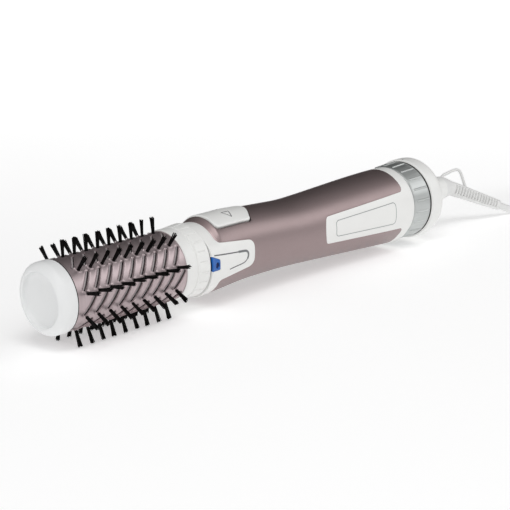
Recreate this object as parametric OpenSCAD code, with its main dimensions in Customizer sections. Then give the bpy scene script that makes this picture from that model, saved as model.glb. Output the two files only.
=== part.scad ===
// Rotating hot air brush: brush head, handle with blower, heater and brush drive, mains lead.
// The long axis is X: tip towards -X, lead towards +X, rocker button up (+Z).
// The object lies on the plane z = 0; the origin is below the middle of its length.

/* [Brush] */
// Outside diameter of the metal barrel
barrel_d = 40; // [38:0.5:41]
// Length of the metal barrel
barrel_len = 78; // [76:0.5:79]
// Distance from the barrel's surface to a tuft's tip
tuft_h = 9.8; // [7:0.1:12]
// Radius of one tuft
tuft_r = 1.0; // [0.6:0.1:1.2]
// Depth of the white cap at the tip
cap_len = 11; // [9:0.5:13]

/* [Handle] */
// Outside radius where the handle meets the brush
neck_front_r = 22.6; // [22.4:0.1:23]
// Outside radius of the waist
waist_r = 20.1; // [19.9:0.1:20.6]
// Outside radius at the rear of the handle
rear_r = 24; // [23.9:0.1:24.3]
// Wall thickness of the handle
wall = 2; // [1.6:0.1:2.1]
// Height of the saddle that carries the rocker, above the axis
saddle_top = 23; // [22.8:0.1:23.2]

/* [Controls] */
// How far the rocker stands above its saddle
rocker_proud = 0.8; // [0.4:0.1:1.2]
// Number of ribs on the selector ring
ring_ribs = 20; // [12:2:24]
// Turn of the selector ring from off to full heat, in degrees
selector_turn = 54; // [36:1:60]

/* [Mains lead] */
// Diameter of the lead
cord_d = 5; // [4.6:0.1:5.2]
// Length of the ribbed part of the strain relief
rib_len = 43; // [41:1:44]

/* [Hidden] */

$fn = 96;
eps = 0.01;
gap = 0.1;               // clearance between neighbours that don't move
run = 0.05;              // radial clearance of a running shaft

// Stations along the axis, measured from the front edge of the barrel
barrel_r = barrel_d / 2;
barrel_wall = 0.8;
tip_r = barrel_r + tuft_h;
tufts = 9;               // tufts in a row
rows = 9;                // rows round the barrel
tuft_pitch = 8;
row_turn = 360 / rows;
first_tuft = (barrel_len - (tufts - 1) * tuft_pitch) / 2;
collar_end = 94.4;       // parting line between brush and handle
handle_start = 94.8;
collar_edge = 102.4;     // rear edge of the white front collar
sleeve_edge = 267;       // front edge of the white rear sleeve
ring_start = 275.2;
ring_end = 290.9;
cap_start = 291.2;
cap_rear = 308;
nose_end = 331;          // where the bending part of the strain relief begins
shift_x = -188;          // puts the middle of the length at x = 0
axis_z = tip_r * cos(row_turn / 2) + tuft_r * sin(row_turn / 2);

// Strain relief and lead
bend_angle = 27;         // droop of the strain relief from the axis
bend_len = 16;           // length of its smooth elbow
lean_angle = -30;        // turn of its bending plane about the axis, from straight down
bend_r = bend_len / (bend_angle * PI / 180);
cord_r = cord_d / 2;
relief_end_s = nose_end + bend_r * sin(bend_angle) + rib_len * cos(bend_angle);
relief_drop = bend_r * (1 - cos(bend_angle)) + rib_len * sin(bend_angle);
relief_end = [relief_end_s + shift_x, relief_drop * sin(lean_angle),
              axis_z - relief_drop * cos(lean_angle)];
coil_centre = [262, -31];
coil_r = 27.5;           // middle radius of its turns: three, four, then three in a layer
coil_floor = 0.6;        // underside of the coil, on top of its tie
layer_rise = cord_d * sin(60);
coil_h = cord_d + 2 * layer_rise;
plug_len = 36;
plug_w = 35;
plug_h = 26;
plug_neck = 6;
plug_at = [268, -11];
plug_axis_z = coil_floor + coil_h + plug_h / 2 + 0.3;
// Route of the lead from the strain relief to the coil, laid on the floor
cord_route = [relief_end, relief_end + [3, -0.8, -1.3], [202.5, -13.1, 5.6], [206, -14, 4.2],
              [210, -14.9, 3.2], [215, -15.6, 2.8], [221, -15.4, 2.8], [228, -13.2, 2.9],
              [234, -9.9, 3.1]];
// Route of its other end, from the top of the coil to the plug
tail_route = [[245.5, -46.4, 13.3], [241, -38.6, 15.5], [240, -29.9, 18.2], [242.4, -21.9, 21],
              [247.4, -15.9, 23.7], [254.4, -12.1, 26.3],
              [plug_at.x - plug_neck, plug_at.y, plug_axis_z]];

// --- Shared shapes -------------------------------------------------------

// Moves a shape drawn along the axis, with the barrel's front edge at 0, to its place
module at_axis() {
    translate([shift_x, 0, axis_z]) children();
}

// Turns a shape about the axis: 0 is up, 90 the left side (-Y)
module turned(angle) {
    rotate([angle, 0, 0]) children();
}

// Solid of revolution from [radius, station] points
module revolved(points) {
    rotate([0, 90, 0]) rotate_extrude() polygon(points);
}

module disc_x(start, end, r) {
    translate([start, 0, 0]) rotate([0, 90, 0]) cylinder(h = end - start, r = r);
}

module tube_x(start, end, outer, inner) {
    difference() {
        disc_x(start, end, outer);
        disc_x(start - 1, end + 1, inner);
    }
}

module box_at(start, end, y1, y2, z1, z2) {
    translate([start, y1, z1]) cube([end - start, y2 - y1, z2 - z1]);
}

function smooth(t) = let(u = min(max(t, 0), 1)) u * u * (3 - 2 * u);

// Outside radius of the handle at a station, without its saddle
function body_r(s) = waist_r + (neck_front_r - waist_r) * (1 - smooth((s - 92) / 48))
    + (rear_r - waist_r) * smooth((s - 160) / 110);

// The saddle is a second round body set higher, which sinks into the handle rearwards
saddle_lift = 2.6;
saddle_r = saddle_top - saddle_lift;
saddle_fall = 128;       // where it begins to sink
saddle_len = 60;
saddle_slope = 3.2;

function profile(start, end, inset, step = 10) = let(n = ceil((end - start) / step))
    [[0, start], for (i = [0 : n]) let(s = start + (end - start) * i / n) [body_r(s) - inset, s],
     [0, end]];

module saddle(start, inset) {
    r = saddle_r - inset;
    lap = 1.3;           // the level part covers the leaning end of the tilted one
    translate([0, 0, saddle_lift]) {
        disc_x(start, saddle_fall + lap, r);
        translate([saddle_fall - gap, 0, 0]) rotate([0, saddle_slope, 0])
            disc_x(0, saddle_len - inset, r - eps);
    }
}

// The whole handle as a solid, its surface moved inwards by inset
module body_solid(start, end, inset) {
    revolved(profile(start, end, inset));
    if (start < saddle_fall) saddle(start, inset);
}

module body_wall(start, end) {
    difference() {
        body_solid(start, end, 0);
        body_solid(start - 1, end + 1, wall);
    }
}

// Side view of a tongue with rounded end, from station start to end
function arc(cx, cz, r, a1, a2, n = 8) = [for (i = [0 : n]) let(a = a1 + (a2 - a1) * i / n)
    [cx + r * cos(a), cz + r * sin(a)]];

// Side outline of the white front collar with its tongue, grown by g
function collar_outline(g) = concat(
    [[80, -40], [collar_edge + g, -40], [collar_edge + g, -11 - g]],
    arc(126.2, -3.6, 4.6 + g, -82, -4), arc(126.2, 3.6, 4.6 + g, 4, 82),
    [[collar_edge + g, 11 + g], [100.2 + g, 12.6 + g], [98.8 + g, 16], [98 + g, 40], [80, 40]]);

// Side outline of the white rear sleeve with its label panel, grown by g
function sleeve_outline(g) = concat(
    [[310, -40], [sleeve_edge - g, -40], [sleeve_edge - g, -16]],
    arc(263.6, -15.4, 3.4 - g, 0, 80),
    arc(196.6, -5.9, 2.8 + g, -95, -155), arc(209.35, 0, 16.85 + g, -155.2, -204.8),
    arc(196.6, 5.9, 2.8 + g, 155, 95),
    arc(263.6, 15.4, 3.4 - g, -80, 0),
    [[sleeve_edge - g, 16], [sleeve_edge - g, 40], [310, 40]]);

module side_prism(outline) {
    rotate([90, 0, 0]) linear_extrude(height = 80, center = true) polygon(outline);
}

// Plan outline of the rocker seen from above, grown by g
function rocker_outline(g) = concat(
    arc(109.6, -10.9, 2.4 + g, 180, 265), arc(133.6, -10.9, 2.4 + g, 275, 345),
    arc(139.4 - 12, 0, 13.6 + g, -28, 28, 10),
    arc(133.6, 10.9, 2.4 + g, 15, 85), arc(109.6, 10.9, 2.4 + g, 95, 180));

module rocker_prism(g) {
    translate([0, 0, 10]) linear_extrude(height = 30) polygon(rocker_outline(g));
}

function unit(v) = v / norm(v);

function tangent(p, i) = unit(p[min(i + 1, len(p) - 1)] - p[max(i - 1, 0)]);

function tube_ring(p, t, r, sides, ref) = let(side = unit(cross(t, ref)), up = cross(side, t))
    [for (k = [0 : sides - 1]) p + r * (cos(360 * k / sides) * side + sin(360 * k / sides) * up)];

// A tube swept along points, with one radius for each point
module swept(points, radii, sides = 10, ref = [0, 0, 1]) {
    n = len(points);
    polyhedron(
        points = [for (i = [0 : n - 1])
            each tube_ring(points[i], tangent(points, i), radii[i], sides, ref)],
        faces = concat(
            [[for (k = [0 : sides - 1]) sides - 1 - k]],
            [[for (k = [0 : sides - 1]) (n - 1) * sides + k]],
            [for (i = [0 : n - 2], k = [0 : sides - 1]) let(a = i * sides + k,
                b = i * sides + (k + 1) % sides)
                each [[a, b, b + sides], [a, b + sides, a + sides]]]));
}

// Outline of a spur gear with a tooth centred on angle 0
gear_m = 0.4;
function gear_outline(teeth) = [for (i = [0 : teeth - 1], p = [[-1.3, -1.2], [-0.8, 0], [-0.4, 0.85],
    [0.4, 0.85], [0.8, 0], [1.3, -1.2]]) let(a = i * 360 / teeth + p[0] * 90 / teeth,
    r = gear_m * (teeth / 2 + p[1])) [r * cos(a), r * sin(a)]];

module gear_x(start, end, teeth, phase = 0) {
    translate([start, 0, 0]) rotate([0, 90, 0]) rotate([0, 0, phase])
        linear_extrude(height = end - start) polygon(gear_outline(teeth));
}

out_teeth = 26;
idler_small = 10;
idler_big = 28;
pinion_teeth = 8;
idler_drop = gear_m * (out_teeth + idler_small) / 2;

// --- Brush head ----------------------------------------------------------

module tip_cap() {
    crest = -cap_len + 0.6;
    color("whitesmoke") at_axis() revolved(concat(
        [[0, -6.6], [14.4, -6.6], [15.2, -8.3], [17.1, crest]],
        [for (a = [-60 : 12 : 0]) [barrel_r + 0.3 - 4.6 + 4.6 * cos(a), -5.6 + 4.6 * sin(a)]],
        [[barrel_r + 0.3, -gap], [18.9, -gap], [18.9, 4], [17.4, 4], [17.4, -4.4], [0, -4.4]]));
}

module barrel_slot() {
    slot_len = 12.6;
    slot_w = 1.7;
    slant = -34.5;
    translate([0, 0, barrel_r - 0.4]) rotate([0, 0, slant])
        cube([slot_w, slot_len, 3.4], center = true);
}

module brush_barrel() {
    color("rosybrown") at_axis() difference() {
        tube_x(0, barrel_len, barrel_r, barrel_r - barrel_wall);
        for (row = [0 : rows - 1], i = [0 : tufts - 1]) {
            s = first_tuft + i * tuft_pitch;
            turned(row * row_turn) translate([s, 0, 17]) cylinder(h = 5, r = tuft_r + 0.15, $fn = 24);
            turned((row + 0.51) * row_turn) translate([s + 1.2, 0, 0]) barrel_slot();
        }
    }
}

strip_top = barrel_r - barrel_wall - 0.3;

module bristle_tufts() {
    color("black") at_axis() for (row = [0 : rows - 1], i = [0 : tufts - 1])
        turned(row * row_turn) translate([first_tuft + i * tuft_pitch, 0, strip_top])
            cylinder(h = tip_r - strip_top, r = tuft_r, $fn = 24);
}

module bristle_strips() {
    color("dimgray") at_axis() for (row = [0 : rows - 1])
        turned(row * row_turn) box_at(4.6, 73, -2.4, 2.4, strip_top - 2.1, strip_top);
}

core_r = barrel_r - barrel_wall - 2.5;
spline_count = 6;

module splines(start, end, r, w) {
    for (k = [0 : spline_count - 1])
        turned(k * 360 / spline_count) box_at(start, end, -w / 2, w / 2, 0, r);
}

module brush_core() {
    rib_top = core_r - 0.15;
    color("gainsboro") at_axis() difference() {
        union() {
            tube_x(4.2, 9, core_r, core_r - 1.8);
            tube_x(68, 84, core_r, core_r - 1.8);
            for (row = [0 : rows - 1])
                turned(row * row_turn) box_at(8, 69, -1.8, 1.8, core_r - 1.8, rib_top);
            disc_x(74, 91, 8.6);
            for (k = [0 : 5]) turned(k * 60 + 30) box_at(74, 80, -0.9, 0.9, 7, core_r - 1);
        }
        disc_x(73, 92, 5.35);
        splines(73, 92, 6.8, 1.9);
    }
}

module brush_collar() {
    lip = barrel_r + 0.1;
    color("white") at_axis() revolved([[core_r + gap, barrel_len + gap], [lip, barrel_len + gap],
        [lip, 76.9], [lip + 0.6, 76.9], [lip + 0.9, 78.4], [20.9, 84.6], [20.8, 84.9], [20.8, 85.3],
        [21.2, 85.6], [22.5, 93.7], [22.2, 94.1], [22.2, collar_end], [20.4, collar_end], [19.6, 86],
        [core_r + gap, 84]]);
}

module brush_clip() {
    color("silver") at_axis() tube_x(91.2, 92.6, 8.2, 6.9);
}

// --- Brush drive ---------------------------------------------------------

module drive_hub() {
    color("lightgray") at_axis() {
        disc_x(76, 97.4, 5.2);
        splines(76, 90.6, 6.6, 1.6);
        disc_x(97.3, 111.9, 3);
        disc_x(111.8, 116.2, 2);
    }
}

module output_gear() {
    color("ivory") at_axis() difference() {
        gear_x(112, 115.8, out_teeth);
        disc_x(111, 117, 2);
    }
}

module hub_bush() {
    color("darkgoldenrod") at_axis() tube_x(97.8, 104, 4.6, 3 + run);
}

module gearbox_case() {
    color("silver") at_axis() difference() {
        union() {
            disc_x(98, 121, 14.4);
            for (k = [0 : 3]) turned(k * 90 + 45) box_at(98.5, 108, -0.8, 0.8, 14, 19.4);
        }
        disc_x(104.4, 122, 13.4);
        disc_x(97, 105, 4.6);
    }
}

module gearbox_lid() {
    color("gray") at_axis() difference() {
        disc_x(119.4, 121, 13.3);
        disc_x(119, 122, 1.5);
    }
}

module idler_gear() {
    color("ivory") at_axis() translate([0, 0, -idler_drop]) difference() {
        union() {
            gear_x(111.8, 116, idler_small, 180 / idler_small);
            disc_x(115.9, 116.5, 3);
            gear_x(116.4, 118.6, idler_big, 180 / idler_big);
        }
        disc_x(111, 120, 0.8 + run);
    }
}

module idler_axle() {
    color("silver") at_axis() translate([0, 0, -idler_drop]) disc_x(104.4, 119.4, 0.8);
}

module motor_pinion() {
    color("goldenrod") at_axis() {
        gear_x(116.6, 119, pinion_teeth);
        disc_x(118.9, 128, 0.75);
    }
}

module gear_motor() {
    color("slategray") at_axis() difference() {
        union() {
            disc_x(121.1, 146, 12);
            disc_x(146, 148, 4);
        }
        disc_x(121, 129, 0.75 + run);
    }
}

// --- Handle --------------------------------------------------------------

ion_turn = 88;           // side of the ion outlet round the axis

module ion_prism(g) {
    turned(ion_turn) translate([0, 0, 18]) linear_extrude(height = 6)
        polygon([[95.4 - g, -4.4 - g], [101 + g, -3.2 - g], [101 + g, 2.8 + g], [95.4 - g, 4.2 + g]]);
}

module front_collar() {
    color("white") at_axis() difference() {
        union() {
            intersection() {
                body_wall(handle_start, 134);
                side_prism(collar_outline(0));
            }
            tube_x(handle_start, 96.6, 21, 16.6);
        }
        ion_prism(gap);
    }
}

module ion_outlet() {
    color("royalblue") at_axis() difference() {
        intersection() {
            ion_prism(0);
            body_solid(handle_start, 110, 0.15);
        }
        turned(ion_turn) translate([98.8, 0, 15]) cylinder(h = 10, r = 1.9, $fn = 32);
    }
}

module ion_needle() {
    color("silver") at_axis() turned(ion_turn) translate([98.8, 0, 17]) cylinder(h = 4.6, r = 0.5, $fn = 24);
}

module ion_generator() {
    color("black") at_axis() box_at(193.4, 204, -8, 8, -16, -9);
}

module half_shell(side) {
    difference() {
        intersection() {
            body_wall(96, sleeve_edge);
            translate([80, side > 0 ? 0.02 : -60.02, -60]) cube([200, 60, 120]);
        }
        side_prism(collar_outline(0.12));
        side_prism(sleeve_outline(0.12));
        rocker_prism(0.5);
    }
}

module left_shell() {
    color("rosybrown") at_axis() half_shell(-1);
}

module right_shell() {
    color("rosybrown") at_axis() half_shell(1);
}

pivot_z = 18.8;

module rocker_button() {
    color("white") at_axis() difference() {
        union() {
            intersection() {
                difference() {
                    body_solid(100, 150, -rocker_proud);
                    body_solid(99, 151, 1.6);
                }
                rocker_prism(0);
            }
            box_at(113, 134, -1.8, 1.8, pivot_z - 1.2, 22);
        }
        translate([0, 0, pivot_z]) disc_x(105, 145, 1 + run);
    }
}

module rocker_pin() {
    color("silver") at_axis() translate([0, 0, pivot_z]) disc_x(109.4, 138.4, 1);
}

module rocker_bracket() {
    color("darkgray") at_axis() difference() {
        union() {
            box_at(109.4, 138.4, -9, 9, 15, 16.2);
            box_at(109.4, 112, -3, 3, 16, 20.4);
            box_at(135.6, 138.4, -3, 3, 16, 20.4);
        }
        translate([0, 0, pivot_z]) disc_x(105, 145, 1);
    }
}

module switch_board() {
    color("seagreen") at_axis() box_at(112.4, 135.2, -8.6, 8.6, 16.2, 17.2);
}

module micro_switches() {
    color("dimgray") at_axis() for (side = [-1, 1]) translate([124, side * 6.2, 17.2]) {
        translate([-3, -2, 0]) cube([6, 4, 1.8]);
        translate([0, 0, 1.7]) cylinder(h = 0.5, r = 0.9, $fn = 32);
    }
}

module heater_duct() {
    color("tan") at_axis() tube_x(149, 192, 17, 16.4);
}

module heater_frame() {
    color("wheat") at_axis() for (k = [0, 1]) turned(k * 90) {
        box_at(152, 191, -0.5, 0.5, -13, 13);
        box_at(152, 155, -0.5, 0.5, -16.3, 16.3);
        box_at(188, 191, -0.5, 0.5, -16.3, 16.3);
    }
}

module heater_coil() {
    turns = 9;
    steps = 12;
    wind_r = 14;
    points = [for (i = [0 : turns * steps]) let(a = 360 * i / steps)
        [157 + 29 * i / (turns * steps), wind_r * cos(a), wind_r * sin(a)]];
    color("darkorange") at_axis() swept(points, [for (p = points) 0.6], 6, [1, 0, 0]);
}

module thermal_cutout() {
    color("silver") at_axis() box_at(191, 198, -4, 4, -2.5, 2.5);
}

module circuit_board() {
    color("seagreen") at_axis() box_at(194, 220, -9.5, 9.5, 14.2, 15.8);
}

module board_parts() {
    color("black") at_axis() {
        box_at(195, 204, -7, 1, 9.4, 14.2);
        translate([199, 5, 9]) cylinder(h = 5.2, r = 3);
        box_at(208, 217, -4, 4, 15.8, 18);
    }
}

module fan_duct() {
    color("whitesmoke") at_axis() {
        tube_x(206, 237, 12.2, 11.1);
        tube_x(234, 258, 20.4, 19.3);
        for (k = [0 : 4]) turned(k * 72 + 36) box_at(224, 236.9, -0.8, 0.8, 12, 19.8);
    }
}

module fan_motor() {
    color("slategray") at_axis() difference() {
        disc_x(206, 237, 11);
        disc_x(211, 238, 1 + run);
    }
}

module fan_shaft() {
    color("silver") at_axis() disc_x(212, 251, 1);
}

module fan_impeller() {
    blades = 7;
    blade_pitch = 38;
    color("gainsboro") at_axis() difference() {
        union() {
            disc_x(240, 251, 8);
            intersection() {
                for (k = [0 : blades - 1]) turned(k * 360 / blades)
                    translate([245.5, 0, 13]) rotate([0, 0, blade_pitch])
                        cube([12, 1.2, 12], center = true);
                disc_x(239.5, 251.5, 18.7);
            }
        }
        disc_x(239, 252, 1 + gap / 5);
    }
}

module boss_places() {
    for (a = [90, 180, 270]) turned(a) translate([0, 0, 18.6]) children();
}

module rear_sleeve() {
    neck_r = 22.4;
    color("white") at_axis() difference() {
        union() {
            intersection() {
                body_wall(190, 275);
                side_prism(sleeve_outline(0));
            }
            tube_x(sleeve_edge + 0.3, cap_start, neck_r, neck_r - wall);
            intersection() {
                boss_places() disc_x(278, cap_start, 2.2);
                disc_x(270, 300, neck_r - 1);
            }
        }
        boss_places() disc_x(279, 300, 1.12);
        rotate([0, 90, 0]) rotate([0, 0, 180 - 38]) rotate_extrude(angle = 76)
            polygon([[19, 280.4], [24, 280.4], [24, 284.6], [19, 284.6]]);
    }
}

module selector_ring() {
    color("silver") at_axis() {
        revolved([[22.5, ring_start], [24, ring_start], [24.5, 277], [25.1, 289.6], [24.9, ring_end],
                  [22.5, ring_end]]);
        for (k = [0 : ring_ribs - 1]) turned((k + 0.5) * 360 / ring_ribs)
            box_at(276.6, 290, -0.5, 0.5, 24, 25.3);
        turned(-selector_turn / 2) box_at(281, 284, -1.2, 1.2, 18.9, 22.7);
    }
}

module selector_switch() {
    color("dimgray") at_axis() box_at(276, 289, -6, 6, 10, 16);
}

module rear_cap() {
    slots = 24;
    color("white") at_axis() difference() {
        revolved([[16.4, cap_start], [26, cap_start], [26.5, 291.8], [26.5, 299.6], [26, 301.6],
            [24.6, 303.6], [21.8, 305.6], [17.6, 307.2], [12.6, cap_rear], [12.6, 310], [9, 310],
            [9, 303.6], [12, 303.6], [12, 306.2], [17, 305.4], [21, 303.8], [23.4, 302],
            [24.6, 299.6], [24.6, 293], [16.4, 293]]);
        for (k = [0 : slots - 1]) turned(k * 360 / slots) box_at(300, 312, -0.7, 0.7, 13.4, 22.4);
        boss_places() disc_x(290, 294, 1.2);
    }
}

module dust_screen() {
    color("gray") at_axis() tube_x(294.8, 295.4, 24.4, 12.4);
}

module cap_screws() {
    color("silver") at_axis() boss_places() {
        disc_x(281, 293, 1.1);
        disc_x(293, 294.6, 2.2);
    }
}

// --- Mains lead ----------------------------------------------------------

module cord_swivel() {
    color("white") at_axis() revolved([[0, 299.8], [11.2, 299.8], [11.2, 303.2], [8.92, 303.2],
        [8.92, 310.4], [11.4, 310.4], [11.4, 312], [8.2, nose_end], [0, nose_end]]);
}

// Places a shape drawn along the strain relief's ribbed part, from its thick end
module on_relief() {
    rotate([lean_angle, 0, 0]) translate([nose_end + bend_r * sin(bend_angle), 0,
        -bend_r * (1 - cos(bend_angle))]) rotate([0, bend_angle, 0]) children();
}

module strain_relief() {
    $fn = 32;
    steps = 6;
    thick = 8.1;
    thin = 4.4;
    tip = 3.4;
    ribs = 16;
    arc_points = [for (i = [0 : steps]) let(a = bend_angle * i / steps)
        [nose_end + bend_r * sin(a), 0, -bend_r * (1 - cos(a))]];
    radii = [for (i = [0 : steps]) thick + (thin - thick) * smooth(i / steps)];
    color("white") at_axis() {
        rotate([lean_angle, 0, 0]) swept(arc_points, radii, 24, [0, 1, 0]);
        on_relief() {
            translate([-0.5, 0, 0]) rotate([0, 90, 0])
                cylinder(h = rib_len + 0.5, r1 = thin - 0.9, r2 = tip - 0.5);
            for (i = [0 : ribs - 1]) let(s = 0.6 + i * (rib_len - 3) / (ribs - 1),
                r = thin + (tip - thin) * s / rib_len) disc_x(s, s + 1.5, r);
        }
    }
}

// Middle line of the hanging loop, from the neck over to the ribbed part
loop_points = [[333.5, -0.4, 6.6], [336, -0.5, 8.3], [341, -0.6, 9.2], [346.5, -0.7, 9.9],
               [350.6, -0.9, 9.9], [353.4, -1.3, 8.6], [354.8, -1.8, 6], [355.6, -2.6, 2.6],
               [356.3, -3.6, -1.6], [356.9, -4.6, -5.2]];

module hanging_loop() {
    color("white") at_axis() swept(loop_points, [for (p = loop_points) 1], 8, [0, 1, 0]);
}

module mains_cord() {
    color("white") swept(cord_route, [for (p = cord_route) cord_r], 10);
}

// Cross-section of the coiled turns, grown by g
function coil_outline(g) = let(narrow = 1.5 * cord_d - 0.6, wide = 2 * cord_d + g,
    low = layer_rise + 0.8, high = coil_h - layer_rise - 0.8)
    [[coil_r - narrow, -g], [coil_r + narrow, -g], [coil_r + wide, low], [coil_r + wide, high],
     [coil_r + narrow, coil_h + g], [coil_r - narrow, coil_h + g], [coil_r - wide, high],
     [coil_r - wide, low]];

module at_coil() {
    translate([coil_centre.x, coil_centre.y, coil_floor]) children();
}

module cord_coil() {
    color("white") at_coil() rotate_extrude() polygon(coil_outline(0));
}

module cord_tie() {
    tie_w = 6;
    color("gray") at_coil() rotate([90, 0, -70]) linear_extrude(height = tie_w, center = true)
        difference() {
            polygon(coil_outline(coil_floor));
            polygon(coil_outline(0.15));
        }
}

module cord_tail() {
    color("white") swept(tail_route, [for (p = tail_route) cord_r], 10);
}

module plug_body() {
    corner = 9;
    color("white") translate([plug_at.x, plug_at.y, plug_axis_z]) rotate([0, 90, 0]) {
        translate([0, 0, -plug_neck]) cylinder(h = plug_neck + 1, r1 = 4.4, r2 = 7.5);
        linear_extrude(height = plug_len) {
            square([plug_h, plug_w - 2 * corner], center = true);
            square([plug_h - 2 * corner, plug_w], center = true);
            for (a = [-1, 1], b = [-1, 1])
                translate([a * (plug_h / 2 - corner), b * (plug_w / 2 - corner)]) circle(r = corner);
        }
    }
}

module plug_pins() {
    pin_r = 2.4;
    pin_len = 19;
    color("silver") for (side = [-1, 1])
        translate([plug_at.x + plug_len, plug_at.y + side * 9.5, plug_axis_z]) rotate([0, 90, 0])
            cylinder(h = pin_len, r = pin_r);
}

tip_cap();
brush_barrel();
bristle_tufts();
bristle_strips();
brush_core();
brush_collar();
brush_clip();
drive_hub();
output_gear();
hub_bush();
gearbox_case();
gearbox_lid();
idler_gear();
idler_axle();
motor_pinion();
gear_motor();
front_collar();
ion_outlet();
ion_needle();
ion_generator();
left_shell();
right_shell();
rocker_button();
rocker_pin();
rocker_bracket();
switch_board();
micro_switches();
heater_duct();
heater_frame();
heater_coil();
thermal_cutout();
circuit_board();
board_parts();
fan_duct();
fan_motor();
fan_shaft();
fan_impeller();
rear_sleeve();
selector_ring();
selector_switch();
rear_cap();
dust_screen();
cap_screws();
cord_swivel();
strain_relief();
hanging_loop();
mains_cord();
cord_coil();
cord_tie();
cord_tail();
plug_body();
plug_pins();
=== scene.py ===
"""Looks of the hot air brush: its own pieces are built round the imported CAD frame."""
import bpy
import math
import random
import numpy as np
from mathutils import Matrix, Vector


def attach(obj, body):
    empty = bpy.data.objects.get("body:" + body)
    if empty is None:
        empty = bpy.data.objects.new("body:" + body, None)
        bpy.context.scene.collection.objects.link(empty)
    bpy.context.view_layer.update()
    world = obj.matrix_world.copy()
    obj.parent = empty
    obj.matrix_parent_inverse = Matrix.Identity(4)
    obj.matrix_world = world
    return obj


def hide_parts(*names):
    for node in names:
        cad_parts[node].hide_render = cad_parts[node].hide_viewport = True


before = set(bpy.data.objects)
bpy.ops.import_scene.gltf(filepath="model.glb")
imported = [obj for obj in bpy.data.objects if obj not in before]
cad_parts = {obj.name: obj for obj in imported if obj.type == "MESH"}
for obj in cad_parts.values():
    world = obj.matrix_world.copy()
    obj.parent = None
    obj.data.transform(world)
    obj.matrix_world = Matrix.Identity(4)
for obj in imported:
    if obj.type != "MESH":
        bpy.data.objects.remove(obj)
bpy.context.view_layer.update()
MM = 0.001

# ---------------------------------------------------------------- driving sizes (mm)
# A station is the distance along the axis from the barrel's front edge.
FRONT_X = -188.0                        # world X of station 0
BARREL_R = 20.0
BARREL_LEN = 78.0
ROWS = 9
TUFTS = 9                               # tufts in each row
ROW_PITCH = 2 * math.pi / ROWS
TIP_R = 29.8                            # axis to the tips of the tufts
TUFT_R = 1.0
HALF_ROW = math.radians(180 / ROWS)     # the brush rests on two rows, this far to each side
AXIS_Z = TIP_R * math.cos(HALF_ROW) + TUFT_R * math.sin(HALF_ROW)
TUFT_PITCH = 8.0
FIRST_TUFT = 7.0
SLOT_LEN = 12.6
SLOT_W = 1.25
SLOT_SLANT = math.radians(34.5)
SLOT_PHASE = 0.511                      # place of a slot between two rows of tufts
SLOT_SHIFT = 1.2                        # stations from a tuft to its slot
HANDLE_START = 94.8
HANDLE_END = 275.0
COLLAR_EDGE = 102.4
SLEEVE_EDGE = 267.0
WAIST_R = 20.1                          # slimmest part of the handle
FRONT_FLARE = 2.5                       # how much wider the handle is at its front end
REAR_FLARE = 3.9                        # and at its rear end
SADDLE_LIFT = 2.6                       # height of the saddle's axis above the handle's
SADDLE_R = 20.4
SADDLE_FALL = 128.0                     # station where the saddle starts to fall
SADDLE_SLOPE = math.tan(math.radians(3.2))
CREASE = 0.6                            # soft crease between body and saddle
FRONT_DROP = 1.75                       # the collar's top is this much lower than the round body
RAMP_LEN = 3.8                          # slope from the collar's edge up to the saddle
ROCKER_PROUD = 0.8
SKIN_STEP = 0.5                         # grid of the handle's skin
SKIN_DEPTH = 1.6                        # depth of the walls at its cut edges
SEAM = 0.13                             # how far a cut edge rolls in
NOSE_END = 331.0                        # end of the swivel cone
CONE_R = 8.2
BEND = math.radians(27)                 # bend of the strain relief
BEND_LEN = 16.0
BEND_R = BEND_LEN / BEND
LEAN = math.radians(-30)                # turn of the strain relief about the axis
RIB_LEN = 43.0
RELIEF_R = 5.2                          # strain relief where its taper starts
RELIEF_TIP_R = 3.9
CORD_D = 5.0


def smooth(t):
    """Smooth step from 0 to 1, for a number or an array."""
    t = np.clip(t, 0, 1)
    return t * t * (3 - 2 * t)


def skin(s, phi):
    """Radius of the handle's outer skin at stations and angles from the top, saddle included."""
    r = WAIST_R + FRONT_FLARE * (1 - smooth((s - 92) / 48)) + REAR_FLARE * smooth((s - 160) / 110)
    lift = SADDLE_LIFT - np.maximum(s - SADDLE_FALL, 0) * SADDLE_SLOPE
    c, q = np.cos(phi), np.sin(phi)
    raised = lift * c + np.sqrt(np.maximum(SADDLE_R ** 2 - lift * lift * q * q, 0))
    h = np.maximum(CREASE - np.abs(r - raised), 0) / CREASE
    full = np.maximum(r, raised) + h * h * CREASE * 0.25
    low = r - FRONT_DROP * smooth((c - 0.3) / 0.42)
    return low + (full - low) * np.clip((s - COLLAR_EDGE) / RAMP_LEN, 0, 1)


def place(s, phi, r):
    """World point (m) at station s, angle phi from the top towards -Y, and radius r."""
    return Vector(((s + FRONT_X) * MM, -r * math.sin(phi) * MM, (AXIS_Z + r * math.cos(phi)) * MM))


def axis_point(x, y, z):
    """World point (m) from axis coordinates: station, y and height above the axis."""
    return Vector(((x + FRONT_X) * MM, y * MM, (AXIS_Z + z) * MM))


# ---------------------------------------------------------------- mesh helpers
def add_object(name, data):
    """A new object in the scene."""
    obj = bpy.data.objects.new(name, data)
    bpy.context.scene.collection.objects.link(obj)
    return obj


def circle(n):
    """Angles of n even steps round a circle."""
    return [2 * math.pi * j / n for j in range(n)]


def mesh_object(name, verts, faces, body, material, angle=35):
    """A smooth piece that rides on a body; edges sharper than angle stay crisp."""
    mesh = bpy.data.meshes.new(name)
    mesh.from_pydata([tuple(v) for v in verts], [], faces)
    mesh.validate()
    mesh.update()
    for p in mesh.polygons:
        p.use_smooth = True
    obj = add_object(name, mesh)
    if angle:
        mesh.set_sharp_from_angle(angle=math.radians(angle))
    obj.data.materials.append(material)
    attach(obj, body)
    return obj


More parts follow.
